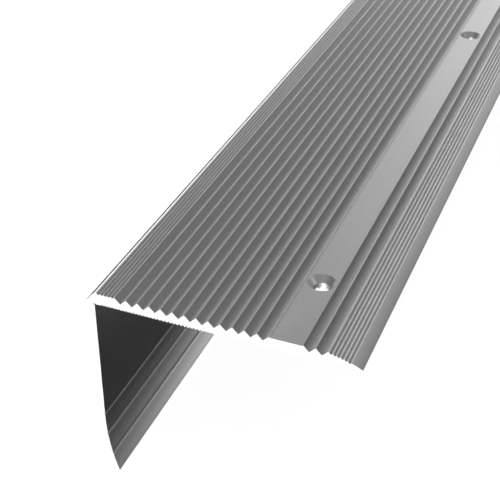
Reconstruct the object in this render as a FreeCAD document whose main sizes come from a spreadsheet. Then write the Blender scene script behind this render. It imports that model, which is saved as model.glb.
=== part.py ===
"""Stair nosing strip: one extruded aluminium angle with a ribbed tread, a drilled channel and a curved leg.

Row frame, in millimetres: the origin is the inner corner, where the tread's underside meets the leg's inner
face, halfway along the strip. +X runs back over the step, +Y along the strip and +Z up. The section lies in
the XZ plane.
"""

import FreeCAD, Part
import math
import os

import Sketcher

NODE = "nosing_profile"

# alias, value in millimetres, degrees or a count, and what it is
DIMENSIONS = (
    ("strip_length", 1200.0, "cut length of the strip"),
    ("tread_thickness", 3.4, "underside to the crests of the ribs"),
    ("tread_reach", 67.7, "leg's inner face to the thin back edge"),
    ("back_edge_height", 0.45, "height of the blunt back edge"),
    ("back_edge_undercut", 0.2, "how far that edge leans back under itself"),
    ("slope_start", 58.4, "where the top begins to fall to the back edge"),
    ("slope_radius", 29.0, "radius of the falling top"),
    ("nose_angle", 50.0, "slope of the nose bevel from the horizontal"),
    ("nose_round", 1.5, "rounding between the bevel and the top"),
    ("leg_root", 2.7, "leg thickness at the top"),
    ("leg_thin", 1.65, "leg thickness where the toe begins, and along the toe"),
    ("leg_drop", 35.6, "tread underside to the start of the toe"),
    ("toe_radius", 62.8, "inner radius of the toe, which curls towards the riser"),
    ("toe_angle", 17.7, "how far the toe turns"),
    ("corner_relief", 0.25, "radius of the relief groove in the inner corner"),
    ("rib_pitch", 3.05, "spacing of the large ribs"),
    ("rib_groove_width", 2.95, "mouth of a large V groove"),
    ("rib_groove_depth", 1.55, "depth of a large V groove"),
    ("front_rib_start", 7.05, "first large groove, in front of the channel"),
    ("front_rib_count", 13, "large grooves in front of the channel"),
    ("back_rib_start", 54.85, "first large groove behind the channel"),
    ("back_rib_count", 2, "large grooves behind the channel"),
    ("fine_pitch", 0.93, "spacing of all the fine ribs"),
    ("fine_groove_width", 0.84, "mouth of a fine V groove"),
    ("fine_groove_depth", 0.42, "depth of a fine V groove"),
    ("nose_fine_start", 1.24, "first fine groove on the nose"),
    ("nose_fine_count", 5, "fine grooves on the nose"),
    ("slope_fine_start", 60.05, "first fine groove on the falling top"),
    ("slope_fine_count", 6, "fine grooves on the falling top"),
    ("key_groove_width", 0.7, "mouth of a V groove under the tread"),
    ("key_groove_depth", 0.42, "depth of a V groove under the tread"),
    ("key_start", 2.1, "first groove under the tread"),
    ("key_count", 70, "grooves under the tread"),
    ("toe_mark_width", 0.5, "mouth of a score line inside the toe"),
    ("toe_mark_depth", 0.25, "depth of a score line inside the toe"),
    ("toe_mark_step", 6.0, "angle between score lines"),
    ("toe_mark_count", 3, "score lines inside the toe"),
    ("channel_start", 45.3, "front wall of the drilled channel"),
    ("channel_width", 8.0, "width of the drilled channel"),
    ("channel_depth", 0.25, "channel floor below the crests"),
    ("hole_diameter", 4.0, "clearance hole for a 3.5 mm screw"),
    ("countersink_diameter", 7.2, "mouth of the countersink"),
    ("countersink_angle", 90.0, "included angle of the countersink"),
    ("hole_count", 8, "screw holes in one row"),
    ("hole_margin", 25.0, "end of the strip to the first hole"),
)

ROOT_POINT = (-1, 1)  # a sketch's own origin, as the sketcher names it
START, END, CENTRE = 1, 2, 3  # the points of a sketch edge
CUT_CLEARANCE = "1"  # how far a cutting outline stands out of the metal


def make_sheet(doc):
    """The driving dimensions, one row each."""
    sheet = doc.addObject("Spreadsheet::Sheet", "dims")
    for row, (alias, value, note) in enumerate(DIMENSIONS, start=1):
        sheet.set(f"A{row}", note)
        sheet.set(f"B{row}", f"{value:g}")
        sheet.setAlias(f"B{row}", alias)
    doc.recompute()
    return sheet


class Section:
    """A closed outline in one of the body's own planes, its corners tied to the sheet by pairs of rules."""

    def __init__(self, body, name, plane="XZ_Plane"):
        self.sketch = body.newObject("Sketcher::SketchObject", name)
        self.sketch.AttachmentSupport = [(origin_feature(body, plane), "")]
        self.sketch.MapMode = "FlatFace"

    def value(self, rule):
        return float(self.sketch.evalExpression(rule))

    def tie(self, kind, first, second, rule):
        """One dimension, bound to a rule. A negative offset is measured the other way round."""
        size = self.value(rule)
        if size < 0:
            first, second, rule = second, first, f"-({rule})"
        index = self.sketch.addConstraint(Sketcher.Constraint(kind, *first, *second, abs(size)))
        self.sketch.setExpression(f"Constraints[{index}]", rule)

    def pin(self, edge, end, corner):
        for kind, rule in zip(("DistanceX", "DistanceY"), corner):
            self.tie(kind, ROOT_POINT, (edge, end), rule)

    def outline(self, corners, arcs=None):
        """Edges from corner to corner. arcs maps a corner's number to its edge's centre and radius rules."""
        arcs = arcs or {}
        points = [FreeCAD.Vector(self.value(x), self.value(z), 0) for x, z in corners]
        joints = []
        for number, start in enumerate(points):
            end = points[(number + 1) % len(points)]
            if number in arcs:
                joints.append(self.arc(start, end, *arcs[number]))
            else:
                edge = self.sketch.addGeometry(Part.LineSegment(start, end))
                joints.append((edge, START, END))
        following = joints[1:] + joints[:1]
        for (edge, _, tail), (next_edge, next_head, _) in zip(joints, following):
            joined = Sketcher.Constraint("Coincident", edge, tail, next_edge, next_head)
            self.sketch.addConstraint(joined)
        for (edge, head, _), corner in zip(joints, corners):
            self.pin(edge, head, corner)
        return self.sketch

    def arc(self, start, end, centre, radius):
        """An arc edge. The sketcher runs arcs anticlockwise, so a clockwise one is entered from its end."""
        middle = FreeCAD.Vector(self.value(centre[0]), self.value(centre[1]), 0)
        turns = [math.atan2(p.y - middle.y, p.x - middle.x) for p in (start, end)]
        clockwise = (turns[1] - turns[0]) % (2 * math.pi) > math.pi
        if clockwise:
            turns.reverse()
        circle = Part.Circle(middle, FreeCAD.Vector(0, 0, 1), self.value(radius))
        edge = self.sketch.addGeometry(Part.ArcOfCircle(circle, *turns))
        index = self.sketch.addConstraint(Sketcher.Constraint("Radius", edge, self.value(radius)))
        self.sketch.setExpression(f"Constraints[{index}]", radius)
        return (edge, END, START) if clockwise else (edge, START, END)

    def circle(self, centre, radius):
        middle = FreeCAD.Vector(self.value(centre[0]), self.value(centre[1]), 0)
        edge = self.sketch.addGeometry(Part.Circle(middle, FreeCAD.Vector(0, 0, 1), self.value(radius)))
        index = self.sketch.addConstraint(Sketcher.Constraint("Radius", edge, self.value(radius)))
        self.sketch.setExpression(f"Constraints[{index}]", radius)
        if middle.Length > 0:
            self.pin(edge, CENTRE, centre)
        else:
            self.sketch.addConstraint(Sketcher.Constraint("Coincident", edge, CENTRE, *ROOT_POINT))
        return self.sketch


def origin_feature(body, role):
    return next(item for item in body.Origin.OriginFeatures if item.Role == role)


def expect_less(body, before, name):
    """The volume after a cut, which has to be smaller than before it."""
    body.Document.recompute()
    after = body.Shape.Volume
    if not after < before:
        raise RuntimeError(f"{name} removed nothing")
    return after


def cut_along(body, sketch, name):
    """Cuts a section's outline out of the metal from end to end."""
    before = body.Shape.Volume
    pocket = body.newObject("PartDesign::Pocket", name)
    pocket.Profile = sketch
    pocket.SideType = "Symmetric"
    pocket.Length = 1
    pocket.setExpression("Length", "dims.strip_length + 2 * " + CUT_CLEARANCE)
    expect_less(body, before, name)
    return pocket


def repeat_in_line(body, feature, name, axis, spacing, count):
    """Repeats a cut at even steps along one of the body's axes."""
    before = body.Shape.Volume
    pattern = body.newObject("PartDesign::LinearPattern", name)
    pattern.Originals = [feature]
    pattern.Direction = (origin_feature(body, axis), [""])
    pattern.Mode = "Spacing"
    pattern.setExpression("Offset", spacing)
    pattern.setExpression("Occurrences", count)
    body.Tip = pattern
    expect_less(body, before, name)


def repeat_about(body, feature, name, sketch, step, count, clockwise):
    """Repeats a cut at even angles about the sketch's own origin."""
    before = body.Shape.Volume
    pattern = body.newObject("PartDesign::PolarPattern", name)
    pattern.Originals = [feature]
    pattern.Axis = (sketch, ["N_Axis"])
    pattern.Mode = "Spacing"
    pattern.Reversed = clockwise
    pattern.setExpression("Offset", step)
    pattern.setExpression("Occurrences", count)
    body.Tip = pattern
    expect_less(body, before, name)


def notch(middle, surface, width, depth, into=-1):
    """Corner rules of a V groove whose mouth lies on a surface, cut downwards (-1) or upwards (+1)."""
    half = f"{width} / 2"
    mouth = f"{surface} - ({into}) * {CUT_CLEARANCE}"
    return (
        (f"{middle} - {half}", mouth),
        (f"{middle} + {half}", mouth),
        (f"{middle} + {half}", surface),
        (middle, f"{surface} + ({into}) * {depth}"),
        (f"{middle} - {half}", surface),
    )


def radial_notch(angle, radius, width, depth, into):
    """Corner rules of a V groove on an arc about the sketch's origin, cut towards it (-1) or away (+1)."""

    def at(along, across):
        return (
            f"({along}) * cos({angle}) - ({across}) * sin({angle})",
            f"({along}) * sin({angle}) + ({across}) * cos({angle})",
        )

    half = f"{width} / 2"
    mouth = f"{radius} - ({into}) * {CUT_CLEARANCE}"
    return (
        at(mouth, f"-{half}"),
        at(mouth, half),
        at(radius, half),
        at(f"{radius} + ({into}) * {depth}", "0"),
        at(radius, f"-{half}"),
    )


# The falling top is an arc through the start of the slope and the back edge, with its centre below.
CHORD_X = "(dims.tread_reach - dims.slope_start)"
CHORD_Z = "(dims.tread_thickness - dims.back_edge_height)"
CHORD = f"sqrt({CHORD_X} ^ 2 + {CHORD_Z} ^ 2)"
CHORD_TO_CENTRE = f"sqrt(dims.slope_radius ^ 2 - ({CHORD} / 2) ^ 2)"
SLOPE_CENTRE = (
    f"(dims.slope_start + dims.tread_reach) / 2 - {CHORD_TO_CENTRE} * {CHORD_Z} / {CHORD}",
    f"(dims.tread_thickness + dims.back_edge_height) / 2 - {CHORD_TO_CENTRE} * {CHORD_X} / {CHORD}",
)
TOE_CENTRE = ("dims.toe_radius", "-dims.leg_drop")


def pad_section(body):
    """The section without its grooves, drawn out to the strip's length."""
    nose_tangent = "dims.nose_round * tan(dims.nose_angle / 2)"
    toe_outer = "(dims.toe_radius + dims.leg_thin)"
    corners = (
        ("0", "0"),
        ("dims.tread_reach - dims.back_edge_undercut", "0"),
        ("dims.tread_reach", "dims.back_edge_height"),
        ("dims.slope_start", "dims.tread_thickness"),
        (nose_tangent, "dims.tread_thickness"),
        (
            f"-{nose_tangent} * cos(dims.nose_angle)",
            f"dims.tread_thickness - {nose_tangent} * sin(dims.nose_angle)",
        ),
        ("-dims.leg_root", "dims.tread_thickness - dims.leg_root * tan(dims.nose_angle)"),
        ("-dims.leg_thin", "-dims.leg_drop"),
        (
            f"dims.toe_radius - {toe_outer} * cos(dims.toe_angle)",
            f"-dims.leg_drop - {toe_outer} * sin(dims.toe_angle)",
        ),
        (
            "dims.toe_radius * (1 - cos(dims.toe_angle))",
            "-dims.leg_drop - dims.toe_radius * sin(dims.toe_angle)",
        ),
        ("0", "-dims.leg_drop"),
    )
    nose_centre = (nose_tangent, "dims.tread_thickness - dims.nose_round")
    arcs = {
        2: (SLOPE_CENTRE, "dims.slope_radius"),
        4: (nose_centre, "dims.nose_round"),
        7: (TOE_CENTRE, toe_outer),
        9: (TOE_CENTRE, "dims.toe_radius"),
    }
    pad = body.newObject("PartDesign::Pad", "drawn_section")
    pad.Profile = Section(body, "section_outline").outline(corners, arcs)
    pad.SideType = "Symmetric"
    pad.setExpression("Length", "dims.strip_length")
    body.Document.recompute()


def cut_large_grooves(body):
    """The two rows of large V grooves in the walking surface, in front of the channel and behind it."""
    for row in ("front", "back"):
        corners = notch(
            f"dims.{row}_rib_start",
            "dims.tread_thickness",
            "dims.rib_groove_width",
            "dims.rib_groove_depth",
        )
        sketch = Section(body, f"{row}_groove_outline").outline(corners)
        groove = cut_along(body, sketch, f"{row}_groove")
        count = f"dims.{row}_rib_count"
        repeat_in_line(body, groove, f"{row}_grooves", "X_Axis", "dims.rib_pitch", count)


def cut_channel(body):
    """The plain channel that the screw holes are drilled in."""
    front, back = "dims.channel_start", "dims.channel_start + dims.channel_width"
    floor, above = "dims.tread_thickness - dims.channel_depth", f"dims.tread_thickness + {CUT_CLEARANCE}"
    corners = ((front, floor), (back, floor), (back, above), (front, above))
    cut_along(body, Section(body, "channel_outline").outline(corners), "drill_channel")


def cut_nose_grooves(body):
    """Fine grooves along the rounded front of the tread."""
    corners = notch(
        "dims.nose_fine_start",
        "dims.tread_thickness",
        "dims.fine_groove_width",
        "dims.fine_groove_depth",
    )
    groove = cut_along(body, Section(body, "nose_groove_outline").outline(corners), "nose_groove")
    repeat_in_line(body, groove, "nose_grooves", "X_Axis", "dims.fine_pitch", "dims.nose_fine_count")


def cut_slope_grooves(body):
    """Fine grooves on the falling top, set square to it and stepped about its centre."""
    section = Section(body, "slope_groove_outline")
    section.sketch.setExpression(".AttachmentOffset.Base.x", SLOPE_CENTRE[0])
    section.sketch.setExpression(".AttachmentOffset.Base.y", SLOPE_CENTRE[1])
    first_angle = f"acos((dims.slope_fine_start - ({SLOPE_CENTRE[0]})) / dims.slope_radius)"
    corners = radial_notch(
        first_angle,
        "dims.slope_radius",
        "dims.fine_groove_width",
        "dims.fine_groove_depth",
        into=-1,
    )
    sketch = section.outline(corners)
    groove = cut_along(body, sketch, "slope_groove")
    step = "dims.fine_pitch / dims.slope_radius * 180 / pi"
    repeat_about(body, groove, "slope_grooves", sketch, step, "dims.slope_fine_count", True)


def cut_key_grooves(body):
    """The fine key for adhesive under the tread, which leaves a plain land beside the inner corner."""
    corners = notch("dims.key_start", "0", "dims.key_groove_width", "dims.key_groove_depth", into=1)
    groove = cut_along(body, Section(body, "key_groove_outline").outline(corners), "key_groove")
    repeat_in_line(body, groove, "key_grooves", "X_Axis", "dims.fine_pitch", "dims.key_count")


def cut_toe_marks(body):
    """Three score lines inside the leg, from where the toe begins."""
    section = Section(body, "toe_mark_outline")
    section.sketch.setExpression(".AttachmentOffset.Base.x", TOE_CENTRE[0])
    section.sketch.setExpression(".AttachmentOffset.Base.y", TOE_CENTRE[1])
    corners = radial_notch("180", "dims.toe_radius", "dims.toe_mark_width", "dims.toe_mark_depth", into=1)
    sketch = section.outline(corners)
    mark = cut_along(body, sketch, "toe_mark")
    repeat_about(body, mark, "toe_marks", sketch, "dims.toe_mark_step", "dims.toe_mark_count", False)


def cut_corner_relief(body):
    """A round relief in the inner corner, so that the strip seats on a step with a sharp edge."""
    sketch = Section(body, "corner_relief_outline").circle(("0", "0"), "dims.corner_relief")
    cut_along(body, sketch, "corner_relief")


def drill_holes(body):
    """One row of countersunk holes down the middle of the channel."""
    section = Section(body, "first_hole_centre", "XY_Plane")
    floor = "dims.tread_thickness - dims.channel_depth"
    section.sketch.setExpression(".AttachmentOffset.Base.z", floor)
    middle = ("dims.channel_start + dims.channel_width / 2", "dims.hole_margin - dims.strip_length / 2")
    sketch = section.circle(middle, "dims.hole_diameter / 2")
    body.Document.recompute()
    before = body.Shape.Volume
    hole = body.newObject("PartDesign::Hole", "screw_hole")
    hole.Profile = sketch
    hole.DepthType = "ThroughAll"
    hole.HoleCutType = "Countersink"
    hole.HoleCutCustomValues = True
    hole.setExpression("Diameter", "dims.hole_diameter")
    hole.setExpression("HoleCutDiameter", "dims.countersink_diameter")
    hole.setExpression("HoleCutCountersinkAngle", "dims.countersink_angle")
    expect_less(body, before, "screw_hole")
    spacing = "(dims.strip_length - 2 * dims.hole_margin) / (dims.hole_count - 1)"
    repeat_in_line(body, hole, "screw_holes", "Y_Axis", spacing, "dims.hole_count")


def make_profile(doc):
    body = doc.addObject("PartDesign::Body", NODE)
    body.Label = NODE
    body.Placement = FreeCAD.Placement()
    pad_section(body)
    cut_large_grooves(body)
    cut_channel(body)
    cut_nose_grooves(body)
    cut_slope_grooves(body)
    cut_key_grooves(body)
    cut_toe_marks(body)
    cut_corner_relief(body)
    drill_holes(body)
    return body


def check_document(doc, bodies):
    """Stops before anything is written if an object failed or a body has no sound solid."""
    doc.recompute()
    for item in doc.Objects:
        if {"Invalid", "Error"} & set(item.State):
            raise RuntimeError(f"{item.Label} failed: {item.State}")
    for body in bodies:
        if body.Shape.isNull() or not body.Shape.isValid() or len(body.Shape.Solids) != 1:
            raise RuntimeError(f"{body.Label} isn't one sound solid")


def main():
    doc = FreeCAD.newDocument("stair_nosing")
    make_sheet(doc)
    bodies = [make_profile(doc)]
    check_document(doc, bodies)
    os.makedirs("parts", exist_ok=True)
    for body in bodies:
        body.Shape.exportStep(f"parts/{body.Label}.step")
        size = body.Shape.BoundBox
        print(f"{body.Label}: {size.XLength:.2f} x {size.YLength:.2f} x {size.ZLength:.2f} mm")


main()
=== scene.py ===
"""Looks of the stair nosing strip: one ribbed, drilled aluminium angle on a white studio floor.

Everything is in metres in the part's own frame. The section is worked out in millimetres, in the XZ plane,
and drawn out along Y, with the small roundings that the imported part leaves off.
"""

import math

import bmesh
import bpy
from mathutils import Matrix, Vector


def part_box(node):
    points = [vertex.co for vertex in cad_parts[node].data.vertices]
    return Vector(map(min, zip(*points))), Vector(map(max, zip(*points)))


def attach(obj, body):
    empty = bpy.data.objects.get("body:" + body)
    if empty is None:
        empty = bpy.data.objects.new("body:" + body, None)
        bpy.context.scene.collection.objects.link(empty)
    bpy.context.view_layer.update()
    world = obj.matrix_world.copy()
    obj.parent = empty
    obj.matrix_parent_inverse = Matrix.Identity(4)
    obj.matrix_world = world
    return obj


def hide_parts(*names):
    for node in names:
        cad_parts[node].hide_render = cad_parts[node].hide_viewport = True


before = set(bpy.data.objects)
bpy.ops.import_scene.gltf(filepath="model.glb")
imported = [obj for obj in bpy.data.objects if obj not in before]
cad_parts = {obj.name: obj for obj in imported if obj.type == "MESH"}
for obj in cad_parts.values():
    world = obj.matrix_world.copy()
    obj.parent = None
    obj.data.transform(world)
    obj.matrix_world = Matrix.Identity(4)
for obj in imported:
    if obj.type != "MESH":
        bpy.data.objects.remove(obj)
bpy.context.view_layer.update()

MM = 0.001
NODE = "nosing_profile"
BODY = "root"

# Section, in millimetres
TREAD_THICKNESS = 3.4
TREAD_REACH = 67.7
BACK_EDGE_HEIGHT = 0.45
BACK_EDGE_UNDERCUT = 0.2
SLOPE_START = 58.4
SLOPE_RADIUS = 29.0
NOSE_ANGLE = math.radians(50.0)
NOSE_ROUND = 1.5
LEG_ROOT = 2.7
LEG_THIN = 1.65
LEG_DROP = 35.6
TOE_RADIUS = 62.8
TOE_ANGLE = math.radians(17.7)
CORNER_RELIEF = 0.25
RIB_PITCH = 3.05
RIB_GROOVE = (2.95, 1.55)  # mouth and depth of a V groove
FRONT_RIBS = (7.05, 13)  # first groove and how many
BACK_RIBS = (54.85, 2)
FINE_PITCH = 0.93
FINE_GROOVE = (0.84, 0.42)
NOSE_FINE = (1.24, 5)
SLOPE_FINE = (60.05, 6)
KEY_GROOVE = (0.7, 0.42)
KEY_GROOVES = (2.1, 70)
TOE_MARK = (0.5, 0.25)
TOE_MARK_STEP = math.radians(6.0)
TOE_MARKS = 3
CHANNEL_START = 45.3
CHANNEL_WIDTH = 8.0
CHANNEL_DEPTH = 0.25

# Screw holes, in millimetres
HOLE_RADIUS = 2.0
COUNTERSINK_RADIUS = 3.6
HOLE_COUNT = 8
HOLE_MARGIN = 25.0
HOLE_LIP = 0.05  # the broken edge of the countersink
HOLE_OVERSHOOT = 2.0  # how far the cutters stand out above and below the tread

# Roundings, in millimetres
CREST_ROUND = 0.05
ROOT_ROUND = 0.06
FINE_ROUND = 0.045
EDGE_ROUND = 0.3
TIP_ROUND = 0.15
END_BREAK = 0.03  # the deburred edge of the sawn ends

# How finely curves are drawn
CORNER_TURN = 18  # degrees between the points of a rounded corner
RELIEF_STEPS = 9
NOSE_STEPS = 10
LEG_STEPS = 24
SLOPE_STEPS = 8
TOE_STEPS = 8
HOLE_SIDES = 96
SHARP_ANGLE = math.radians(30)

STRIP_LOW, STRIP_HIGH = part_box(NODE)


class Outline:
    """A closed section. A corner may be rounded, and a stretch between two points may belong to a curve."""

    def __init__(self):
        self.corners = []

    def corner(self, x, z, radius=0.0, curved=False):
        self.corners.append((Vector((x, z)), radius, curved))

    def arc(self, centre, radius, start, end, steps):
        """Points of an arc from one angle to another, both ends included."""
        for step in range(steps + 1):
            angle = start + (end - start) * step / steps
            x = centre[0] + radius * math.cos(angle)
            z = centre[1] + radius * math.sin(angle)
            self.corner(x, z, curved=step < steps)

    def points(self):
        """(point, whether the edge after it is curved) for the whole outline, with its corners rounded."""
        found = []
        total = len(self.corners)
        for number, (here, radius, curved) in enumerate(self.corners):
            if not radius:
                found.append((here, curved))
                continue
            before = self.corners[number - 1][0]
            after = self.corners[(number + 1) % total][0]
            found += rounded(before, here, after, radius)
        return found


def rounded(before, here, after, radius):
    """A corner as an arc that is tangent to both of its sides, no longer than they allow."""
    back, ahead = (before - here), (after - here)
    half = back.angle(ahead) / 2
    reach = min(radius / math.tan(half), 0.45 * back.length, 0.45 * ahead.length)
    radius = reach * math.tan(half)
    middle = here + (back.normalized() + ahead.normalized()).normalized() * radius / math.sin(half)
    start = here + back.normalized() * reach - middle
    turn = math.pi - 2 * half
    side = 1 if back.x * ahead.y - back.y * ahead.x < 0 else -1
    steps = max(2, round(math.degrees(turn) / CORNER_TURN))
    found = []
    for step in range(steps + 1):
        angle = side * turn * step / steps
        spoke = Vector(
            (
                start.x * math.cos(angle) - start.y * math.sin(angle),
                start.x * math.sin(angle) + start.y * math.cos(angle),
            )
        )
        found.append((middle + spoke, step < steps))
    return found


def slope_centre():
    """Centre of the falling top, from the chord between its two ends."""
    run, fall = TREAD_REACH - SLOPE_START, TREAD_THICKNESS - BACK_EDGE_HEIGHT
    chord = math.hypot(run, fall)
    reach = math.sqrt(SLOPE_RADIUS**2 - (chord / 2) ** 2)
    return (
        (SLOPE_START + TREAD_REACH) / 2 - reach * fall / chord,
        (TREAD_THICKNESS + BACK_EDGE_HEIGHT) / 2 - reach * run / chord,
    )


def underside(section):
    """From the corner relief to the back edge, with the key grooves that hold adhesive."""
    section.arc((0, 0), CORNER_RELIEF, math.radians(270), 0, RELIEF_STEPS)
    first, count = KEY_GROOVES
    half, depth = KEY_GROOVE[0] / 2, KEY_GROOVE[1]
    for number in range(count):
        middle = first + number * FINE_PITCH
        section.corner(middle - half, 0, FINE_ROUND)
        section.corner(middle, depth, FINE_ROUND)
        section.corner(middle + half, 0, FINE_ROUND)
    section.corner(TREAD_REACH - BACK_EDGE_UNDERCUT, 0, TIP_ROUND / 2)
    section.corner(TREAD_REACH, BACK_EDGE_HEIGHT, TIP_ROUND)


def falling_top(section):
    """From the back edge up the falling top, with its fine grooves set square to it."""
    centre = slope_centre()
    half, depth = FINE_GROOVE[0] / 2, FINE_GROOVE[1]
    first = math.acos((SLOPE_FINE[0] - centre[0]) / SLOPE_RADIUS)
    step = FINE_PITCH / SLOPE_RADIUS
    last = first - (SLOPE_FINE[1] - 1) * step
    edge = math.acos((TREAD_REACH - centre[0]) / SLOPE_RADIUS)
    rim = half / SLOPE_RADIUS
    for number in range(1, SLOPE_STEPS):
        angle = edge + (last - rim - edge) * number / SLOPE_STEPS
        x = centre[0] + SLOPE_RADIUS * math.cos(angle)
        section.corner(x, centre[1] + SLOPE_RADIUS * math.sin(angle), curved=True)
    for number in reversed(range(SLOPE_FINE[1])):
        angle = first - number * step
        along = Vector((math.cos(angle), math.sin(angle)))
        across = Vector((-along.y, along.x))
        mouth = Vector(centre) + along * SLOPE_RADIUS
        for point in (mouth - across * half, mouth - along * depth, mouth + across * half):
            section.corner(point.x, point.y, FINE_ROUND)


def large_grooves(section, row):
    """A row of the large V grooves, from the back to the front."""
    first, count = row
    half, depth = RIB_GROOVE[0] / 2, RIB_GROOVE[1]
    for number in reversed(range(count)):
        middle = first + number * RIB_PITCH
        section.corner(middle + half, TREAD_THICKNESS, CREST_ROUND)
        section.corner(middle, TREAD_THICKNESS - depth, ROOT_ROUND)
        section.corner(middle - half, TREAD_THICKNESS, CREST_ROUND)


def walking_surface(section):
    """From the falling top to the nose: large ribs, the plain channel for the screws, fine nose ribs."""
    centre = slope_centre()
    first, count = BACK_RIBS
    half, depth = RIB_GROOVE[0] / 2, RIB_GROOVE[1]
    last = first + (count - 1) * RIB_PITCH
    steep = depth / half
    # the last groove's back flank runs up to the falling top, below the level of the other crests
    offset = Vector((last, TREAD_THICKNESS - depth)) - Vector(centre)
    square = 1 + steep**2
    linear = offset.x + steep * offset.y
    constant = offset.length_squared - SLOPE_RADIUS**2
    run = min(half, (-linear + math.sqrt(linear * linear - square * constant)) / square)
    section.corner(last + run, TREAD_THICKNESS - depth + steep * run, CREST_ROUND)
    section.corner(last, TREAD_THICKNESS - depth, ROOT_ROUND)
    section.corner(last - half, TREAD_THICKNESS, CREST_ROUND)
    large_grooves(section, (first, count - 1))
    floor = TREAD_THICKNESS - CHANNEL_DEPTH
    back = CHANNEL_START + CHANNEL_WIDTH
    section.corner(back, TREAD_THICKNESS, FINE_ROUND)
    section.corner(back, floor, FINE_ROUND)
    section.corner(CHANNEL_START, floor, FINE_ROUND)
    section.corner(CHANNEL_START, TREAD_THICKNESS, FINE_ROUND)
    large_grooves(section, FRONT_RIBS)
    half, depth = FINE_GROOVE[0] / 2, FINE_GROOVE[1]
    for number in reversed(range(NOSE_FINE[1])):
        middle = NOSE_FINE[0] + number * FINE_PITCH
        section.corner(middle + half, TREAD_THICKNESS, FINE_ROUND)
        section.corner(middle, TREAD_THICKNESS - depth, FINE_ROUND)
        section.corner(middle - half, TREAD_THICKNESS, FINE_ROUND)


def nose_and_leg(section):
    """The rounded nose, its bevel, and the leg down to the curled toe and back up its inner face."""
    tangent = NOSE_ROUND * math.tan(NOSE_ANGLE / 2)
    upright = math.radians(90)
    middle = (tangent, TREAD_THICKNESS - NOSE_ROUND)
    section.arc(middle, NOSE_ROUND, upright, upright + NOSE_ANGLE, NOSE_STEPS)
    section.corner(-LEG_ROOT, TREAD_THICKNESS - LEG_ROOT * math.tan(NOSE_ANGLE), EDGE_ROUND)
    toe = (TOE_RADIUS, -LEG_DROP)
    level = math.radians(180)
    outer = TOE_RADIUS + LEG_THIN
    for step in range(LEG_STEPS):
        angle = level + TOE_ANGLE * step / LEG_STEPS
        section.corner(toe[0] + outer * math.cos(angle), toe[1] + outer * math.sin(angle), curved=True)
    tip = level + TOE_ANGLE
    for radius in (outer, TOE_RADIUS):
        section.corner(toe[0] + radius * math.cos(tip), toe[1] + radius * math.sin(tip), TIP_ROUND)
    inner_toe(section, toe, level)


def inner_toe(section, centre, level):
    """Up the inside of the toe, over its score lines."""
    half, depth = TOE_MARK[0] / 2, TOE_MARK[1]
    rim = half / TOE_RADIUS
    above = TOE_ANGLE
    for mark in reversed(range(TOE_MARKS)):
        angle = mark * TOE_MARK_STEP
        start = above - (rim if mark < TOE_MARKS - 1 else 0)
        for step in range(1, TOE_STEPS):
            turn = level + start + (angle + rim - start) * step / TOE_STEPS
            x = centre[0] + TOE_RADIUS * math.cos(turn)
            section.corner(x, centre[1] + TOE_RADIUS * math.sin(turn), curved=True)
        along = Vector((math.cos(level + angle), math.sin(level + angle)))
        across = Vector((-along.y, along.x))
        mouth = Vector(centre) + along * TOE_RADIUS
        for point in (mouth + across * half, mouth + along * depth, mouth - across * half):
            section.corner(point.x, point.y, FINE_ROUND)
        above = angle


def make_section():
    section = Outline()
    underside(section)
    falling_top(section)
    walking_surface(section)
    nose_and_leg(section)
    return section.points()


def shrunk(points, amount):
    """The same outline drawn in by a small amount, corner by corner."""
    total = len(points)
    found = []
    for number, (here, _) in enumerate(points):
        before, after = points[number - 1][0], points[(number + 1) % total][0]
        side_a = (here - before).normalized()
        side_b = (after - here).normalized()
        inward = Vector((-side_a.y - side_b.y, side_a.x + side_b.x))
        spread = inward.length
        found.append(here + inward * (2 * amount / max(spread * spread, 1.0)))
    return found


def draw_out(points, materials):
    """The section drawn out along Y, with a narrow broken edge round each sawn end."""
    mesh = bpy.data.meshes.new("nosing_strip")
    for material in materials:
        mesh.materials.append(material)
    low, high = STRIP_LOW.y, STRIP_HIGH.y
    full = [here for here, _ in points]
    small = shrunk(points, END_BREAK)
    break_depth = END_BREAK * MM
    rings = (
        (small, low),
        (full, low + break_depth),
        (full, high - break_depth),
        (small, high),
    )
    model = bmesh.new()
    layers = [[model.verts.new((p.x * MM, y, p.y * MM)) for p in ring] for ring, y in rings]
    total = len(points)
    for front, back in zip(layers, layers[1:]):
        for number, (_, curved) in enumerate(points):
            following = (number + 1) % total
            face = model.faces.new((front[number], front[following], back[following], back[number]))
            face.smooth = curved
    ends = [model.faces.new(list(reversed(layers[0]))), model.faces.new(layers[-1])]
    for end in ends:
        end.material_index = 1
    bmesh.ops.recalc_face_normals(model, faces=model.faces)
    model.to_mesh(mesh)
    model.free()
    return bpy.data.objects.new("nosing_strip", mesh)


def hole_places():
    """Centres of the screw holes along Y, in metres."""
    first, last = STRIP_LOW.y + HOLE_MARGIN * MM, STRIP_HIGH.y - HOLE_MARGIN * MM
    return [first + (last - first) * number / (HOLE_COUNT - 1) for number in range(HOLE_COUNT)]


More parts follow.
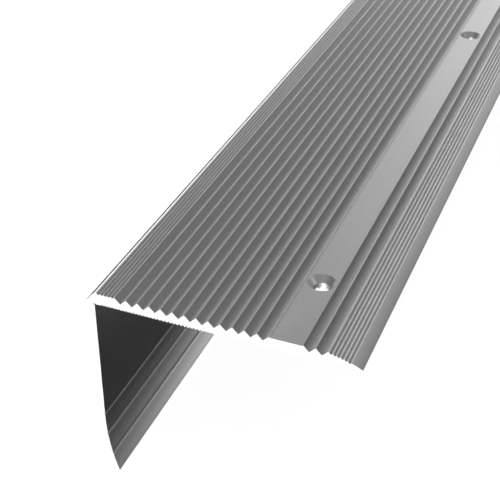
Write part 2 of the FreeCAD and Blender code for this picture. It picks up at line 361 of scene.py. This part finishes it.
def hole_cutters(material):
    """All the countersunk holes as one object of separate solids."""
    floor = TREAD_THICKNESS - CHANNEL_DEPTH
    seat = floor - (COUNTERSINK_RADIUS - HOLE_RADIUS)
    rim = COUNTERSINK_RADIUS + HOLE_LIP / 2
    profile = (
        (HOLE_RADIUS, -HOLE_OVERSHOOT),
        (HOLE_RADIUS, seat),
        (COUNTERSINK_RADIUS - HOLE_LIP, floor - HOLE_LIP),
        (rim, floor + HOLE_LIP / 4),
        (rim, floor + HOLE_OVERSHOOT),
    )
    across = (CHANNEL_START + CHANNEL_WIDTH / 2) * MM
    model = bmesh.new()
    for place in hole_places():
        rings = []
        for radius, height in profile:
            ring = []
            for side in range(HOLE_SIDES):
                turn = 2 * math.pi * side / HOLE_SIDES
                x = across + radius * MM * math.cos(turn)
                ring.append(model.verts.new((x, place + radius * MM * math.sin(turn), height * MM)))
            rings.append(ring)
        for lower, upper in zip(rings, rings[1:]):
            for side in range(HOLE_SIDES):
                following = (side + 1) % HOLE_SIDES
                face = model.faces.new((lower[side], lower[following], upper[following], upper[side]))
                face.smooth = True
        model.faces.new(list(reversed(rings[0])))
        model.faces.new(rings[-1])
    mesh = bpy.data.meshes.new("hole_cutters")
    mesh.materials.append(material)
    model.to_mesh(mesh)
    model.free()
    return bpy.data.objects.new("hole_cutters", mesh)


def drill(strip, cutters):
    """Cuts the holes, with the cutters' material on their walls, and keeps the result."""
    for item in (strip, cutters):
        bpy.context.scene.collection.objects.link(item)
    cut = strip.modifiers.new("holes", "BOOLEAN")
    cut.operation = "DIFFERENCE"
    cut.solver = "EXACT"
    cut.material_mode = "TRANSFER"
    cut.object = cutters
    evaluated = strip.evaluated_get(bpy.context.evaluated_depsgraph_get())
    made = bpy.data.meshes.new_from_object(evaluated)
    strip.modifiers.clear()
    strip.data = made
    made.name = "nosing_strip"
    bpy.data.objects.remove(cutters)
    made.set_sharp_from_angle(angle=SHARP_ANGLE)


def math_node(tree, operation, *values):
    """A maths node whose inputs are numbers or other nodes' outputs."""
    node = tree.nodes.new("ShaderNodeMath")
    node.operation = operation
    for socket, value in zip(node.inputs, values):
        if isinstance(value, (int, float)):
            socket.default_value = value
        else:
            tree.links.new(value, socket)
    return node.outputs[0]


class Shader:
    """A material's node tree, with short calls for the nodes used here."""

    def __init__(self, name):
        self.material = bpy.data.materials.new(name)
        self.material.use_nodes = True
        self.tree = self.material.node_tree
        self.surface = self.tree.nodes["Principled BSDF"]
        coordinates = self.tree.nodes.new("ShaderNodeTexCoord")
        self.place = coordinates.outputs["Object"]

    def link(self, source, socket):
        self.tree.links.new(source, socket)

    def set(self, **values):
        for name, value in values.items():
            self.surface.inputs[name.replace("_", " ")].default_value = value

    def stretched(self, x, y, z):
        """The place, scaled to so many pattern cells a metre along each axis."""
        mapping = self.tree.nodes.new("ShaderNodeMapping")
        mapping.inputs["Scale"].default_value = (x, y, z)
        self.link(self.place, mapping.inputs["Vector"])
        return mapping.outputs["Vector"]

    def noise(self, vector, detail=2.0, roughness=0.5):
        texture = self.tree.nodes.new("ShaderNodeTexNoise")
        texture.inputs["Scale"].default_value = 1.0
        texture.inputs["Detail"].default_value = detail
        texture.inputs["Roughness"].default_value = roughness
        self.link(vector, texture.inputs["Vector"])
        return texture.outputs["Fac"]

    def math(self, operation, *values):
        return math_node(self.tree, operation, *values)

    def spread(self, value, low, high, to_low, to_high):
        """The value, with its range from low to high stretched to another range."""
        node = self.tree.nodes.new("ShaderNodeMapRange")
        for socket, number in zip(node.inputs[1:5], (low, high, to_low, to_high)):
            socket.default_value = number
        self.link(value, node.inputs[0])
        return node.outputs[0]

    def colour(self, value):
        """A grey base colour from one value."""
        node = self.tree.nodes.new("ShaderNodeCombineColor")
        for socket in node.inputs[:3]:
            self.link(value, socket)
        self.link(node.outputs[0], self.surface.inputs["Base Color"])

    def roughness(self, value):
        self.link(value, self.surface.inputs["Roughness"])

    def bump(self, height, distance):
        node = self.tree.nodes.new("ShaderNodeBump")
        node.inputs["Strength"].default_value = 1.0
        node.inputs["Distance"].default_value = distance
        self.link(height, node.inputs["Height"])
        self.link(node.outputs["Normal"], self.surface.inputs["Normal"])


# Pattern cells a metre along X, Y and Z: a low Y draws the pattern out along the strip
DIE_LINES = (3200, 5, 3200)
ETCHED_GRAIN = (5200, 2400, 5200)
SLOW_TONE = (45, 4, 45)
SAW_MARKS = (900, 1, 9000)
TURNED_GRAIN = (3000, 3000, 3000)
TURNING_FEED = 0.16 * MM  # one ring of the drill or countersink
DRAWN_BUMP = 6e-6
SAWN_BUMP = 8e-6
TURNED_BUMP = 5e-6


def drawn_aluminium():
    """Satin anodising on a drawn section: lengthwise die lines, an etched grain and slow changes of tone."""
    shader = Shader("satin_aluminium")
    shader.set(Metallic=0.85)
    lines = shader.noise(shader.stretched(*DIE_LINES), detail=4, roughness=0.6)
    grain = shader.noise(shader.stretched(*ETCHED_GRAIN), detail=2)
    tone = shader.noise(shader.stretched(*SLOW_TONE), detail=3)
    mix = shader.math("MULTIPLY_ADD", lines, 0.4, shader.math("MULTIPLY", tone, 0.25))
    mix = shader.math("MULTIPLY_ADD", grain, 0.35, mix)
    shader.colour(shader.spread(mix, 0.3, 0.7, 0.54, 0.70))
    shader.roughness(shader.spread(mix, 0.3, 0.7, 0.34, 0.26))
    shader.bump(mix, DRAWN_BUMP)
    return shader.material


def sawn_aluminium():
    """The bright saw-cut ends: a matt, light-scattering face with the blade's fine marks."""
    shader = Shader("sawn_aluminium")
    shader.set(Metallic=0.0)
    marks = shader.noise(shader.stretched(*SAW_MARKS), detail=3, roughness=0.6)
    shader.colour(shader.spread(marks, 0.25, 0.75, 0.86, 0.95))
    shader.roughness(shader.spread(marks, 0.25, 0.75, 0.5, 0.4))
    shader.bump(marks, SAWN_BUMP)
    return shader.material


def turned_aluminium():
    """Drilled and countersunk walls, with turning rings about each hole."""
    shader = Shader("turned_aluminium")
    shader.set(Metallic=0.5)
    parts = shader.tree.nodes.new("ShaderNodeSeparateXYZ")
    shader.link(shader.place, parts.inputs[0])
    x, y, z = parts.outputs
    places = hole_places()
    spacing = places[1] - places[0]
    across = (CHANNEL_START + CHANNEL_WIDTH / 2) * MM
    sideways = shader.math("SUBTRACT", x, across)
    along = shader.math("WRAP", shader.math("SUBTRACT", y, places[0]), spacing / 2, -spacing / 2)
    squares = shader.math("MULTIPLY_ADD", sideways, sideways, shader.math("MULTIPLY", along, along))
    reach = shader.math("ADD", shader.math("SQRT", squares), z)
    rings = shader.math("SINE", shader.math("MULTIPLY", reach, 2 * math.pi / TURNING_FEED))
    grain = shader.noise(shader.stretched(*TURNED_GRAIN), detail=2)
    mix = shader.math("MULTIPLY_ADD", rings, 0.15, grain)
    shader.colour(shader.spread(mix, 0.2, 0.8, 0.56, 0.68))
    shader.roughness(shader.spread(mix, 0.2, 0.8, 0.5, 0.4))
    shader.bump(mix, TURNED_BUMP)
    return shader.material


def make_strip():
    materials = (drawn_aluminium(), sawn_aluminium(), turned_aluminium())
    strip = draw_out(make_section(), materials)
    drill(strip, hole_cutters(materials[2]))
    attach(strip, BODY)
    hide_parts(NODE)


# The camera looks down on the near end, from the open side of the angle.
CAMERA_AIM = Vector((0.0279, STRIP_LOW.y + 0.0312, TREAD_THICKNESS * MM))
CAMERA_AZIMUTH = math.radians(21.94)
CAMERA_ELEVATION = math.radians(33.85)
CAMERA_ROLL = math.radians(0.1)
CAMERA_DISTANCE = 0.2808
LENS = 79.62


def make_camera():
    data = bpy.data.cameras.new("camera")
    data.lens = LENS
    data.clip_start, data.clip_end = 0.01, 100
    camera = bpy.data.objects.new("camera", data)
    bpy.context.scene.collection.objects.link(camera)
    level = math.cos(CAMERA_ELEVATION)
    back = Vector(
        (math.sin(CAMERA_AZIMUTH) * level, -math.cos(CAMERA_AZIMUTH) * level, math.sin(CAMERA_ELEVATION))
    )
    turn = (-back).to_track_quat("-Z", "Y").to_matrix().to_4x4()
    roll = Matrix.Rotation(CAMERA_ROLL, 4, "Z")
    camera.matrix_world = Matrix.Translation(CAMERA_AIM + back * CAMERA_DISTANCE) @ turn @ roll
    bpy.context.scene.camera = camera


FLOOR_GLOW = 0.8
FLOOR_GREY = (0.8, 0.8, 0.8, 1)
FLOOR_GAP = 0.5 * MM
FLOOR_RADIUS = 30
WHITE = (1, 1, 1, 1)


def make_floor():
    """A white light table just under the toe, bright enough to show the strip's shadow only faintly."""
    mesh = bpy.data.meshes.new("studio_floor")
    model = bmesh.new()
    bmesh.ops.create_circle(model, cap_ends=True, segments=96, radius=FLOOR_RADIUS)
    model.to_mesh(mesh)
    model.free()
    floor = bpy.data.objects.new("studio_floor", mesh)
    floor.location = (0, 0, STRIP_LOW.z - FLOOR_GAP)
    material = bpy.data.materials.new("studio_white")
    material.use_nodes = True
    surface = material.node_tree.nodes["Principled BSDF"]
    surface.inputs["Base Color"].default_value = FLOOR_GREY
    surface.inputs["Roughness"].default_value = 1.0
    surface.inputs["Specular IOR Level"].default_value = 0.0
    surface.inputs["Emission Color"].default_value = WHITE
    surface.inputs["Emission Strength"].default_value = FLOOR_GLOW
    mesh.materials.append(material)
    bpy.context.scene.collection.objects.link(floor)
    floor.visible_glossy = False
    floor.visible_diffuse = False
    floor.visible_shadow = False


# Soft lights, far away all round. Azimuth is from +Y towards +X and elevation from the horizon, in degrees.
# A larger sharpness is a smaller light. A light that stands on the floor doesn't reach below the horizon.
# name: (azimuth, elevation, sharpness, strength, stands on the floor)
SOFT_LIGHTS = {
    "back_high": (5, 38, 14, 0.55, True),
    "back_top": (10, 60, 16, 0.35, True),
    "back_low": (-3, 8, 30, 1.8, True),
    "left_low": (-30, 10, 30, 1.6, True),
    "left": (-50, 12, 35, 3.0, True),
    "right": (75, 27, 50, 4.0, True),
    "overhead": (180, 60, 5, 0.6, True),
    "front_below": (-170, -25, 12, 7.5, False),
    "toe": (37, -12, 60, 2.3, False),
}
HORIZON = (-0.03, 0.06)  # where a standing light begins and is whole, as the sine of the elevation
SEEN_WHITE = 1.0


def soft_light(tree, direction, above, light):
    """How bright one light is in each direction: a smooth round glow about its own."""
    azimuth, elevation, sharpness, strength, standing = light
    turn, rise = math.radians(azimuth), math.radians(elevation)
    towards = (math.sin(turn) * math.cos(rise), math.cos(turn) * math.cos(rise), math.sin(rise))
    alignment = tree.nodes.new("ShaderNodeVectorMath")
    alignment.operation = "DOT_PRODUCT"
    alignment.inputs[1].default_value = towards
    tree.links.new(direction, alignment.inputs[0])
    fall = math_node(tree, "MULTIPLY_ADD", alignment.outputs["Value"], sharpness, -sharpness)
    glow = math_node(tree, "MULTIPLY", math_node(tree, "EXPONENT", fall), strength)
    if not standing:
        return glow
    return math_node(tree, "MULTIPLY", glow, above)


def make_world():
    """The soft lights round the strip, and plain white wherever the camera looks past it."""
    world = bpy.data.worlds.new("studio")
    bpy.context.scene.world = world
    world.use_nodes = True
    tree = world.node_tree
    tree.nodes.clear()
    direction = tree.nodes.new("ShaderNodeTexCoord").outputs["Generated"]
    parts = tree.nodes.new("ShaderNodeSeparateXYZ")
    tree.links.new(direction, parts.inputs[0])
    above = tree.nodes.new("ShaderNodeMapRange")
    above.interpolation_type = "SMOOTHSTEP"
    above.inputs["From Min"].default_value, above.inputs["From Max"].default_value = HORIZON
    tree.links.new(parts.outputs["Z"], above.inputs["Value"])
    total = 0.0
    for light in SOFT_LIGHTS.values():
        glow = soft_light(tree, direction, above.outputs[0], light)
        total = math_node(tree, "ADD", glow, total)
    seen = tree.nodes.new("ShaderNodeLightPath").outputs["Is Camera Ray"]
    shown = tree.nodes.new("ShaderNodeMix")
    shown.inputs["B"].default_value = SEEN_WHITE
    tree.links.new(seen, shown.inputs["Factor"])
    tree.links.new(total, shown.inputs["A"])
    background = tree.nodes.new("ShaderNodeBackground")
    background.inputs["Color"].default_value = WHITE
    tree.links.new(shown.outputs[0], background.inputs["Strength"])
    output = tree.nodes.new("ShaderNodeOutputWorld")
    tree.links.new(background.outputs[0], output.inputs["Surface"])


make_camera()
make_strip()
make_floor()
make_world()
bpy.context.scene.view_settings.view_transform = "Standard"
